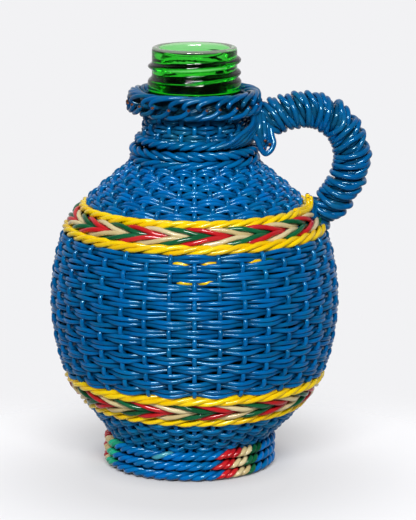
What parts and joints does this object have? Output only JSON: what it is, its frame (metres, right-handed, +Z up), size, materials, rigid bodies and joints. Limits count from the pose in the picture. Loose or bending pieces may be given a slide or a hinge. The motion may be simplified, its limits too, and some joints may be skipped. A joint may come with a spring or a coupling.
{
  "type": "wire-wrapped bottle",
  "caption": "Round-bellied green glass screw-neck bottle in a basketwork cover of coloured plastic-coated wire with patterned bands and a wrapped loop handle.",
  "frame": {"origin": "centre of the woven base's flat underside, on the surface that the bottle stands on", "axes": "+Z up the bottle to the lip, +X towards the loop handle, +Y to the bottle's back as the picture shows it"},
  "size_m": [0.1307, 0.1184, 0.172],
  "materials": {
    "green_glass": "clear moulded green bottle glass, fire polished",
    "blue_wire": "extruded PVC insulation on copper wire, satin gloss",
    "yellow_wire": "extruded PVC insulation on copper wire, satin gloss",
    "tricolour_wire": "red, cream and green PVC-coated copper wires worked together, satin gloss"
  },
  "bodies": {
    "root": {"glass_bottle": "green_glass", "base_weave": "blue_wire", "stake_cage": "blue_wire", "foot_rope_bottom": "blue_wire", "foot_rope_middle": "blue_wire", "foot_rope_top": "blue_wire", "lower_weave": "blue_wire", "body_weave": "blue_wire", "shoulder_weave": "blue_wire", "neck_rope_bottom": "blue_wire", "neck_rope_middle": "blue_wire", "neck_rope_top": "blue_wire", "neck_weave": "blue_wire", "rim_border": "blue_wire", "handle_core": "blue_wire", "handle_wrap": "blue_wire", "handle_tail": "blue_wire", "lower_band_bottom_rope": "yellow_wire", "lower_band_top_rope": "yellow_wire", "upper_band_bottom_rope": "yellow_wire", "upper_band_top_rope": "yellow_wire", "lower_band_bottom_chevron_row": "tricolour_wire", "lower_band_top_chevron_row": "tricolour_wire", "upper_band_bottom_chevron_row": "tricolour_wire", "upper_band_top_chevron_row": "tricolour_wire"}
  },
  "joints": []
}
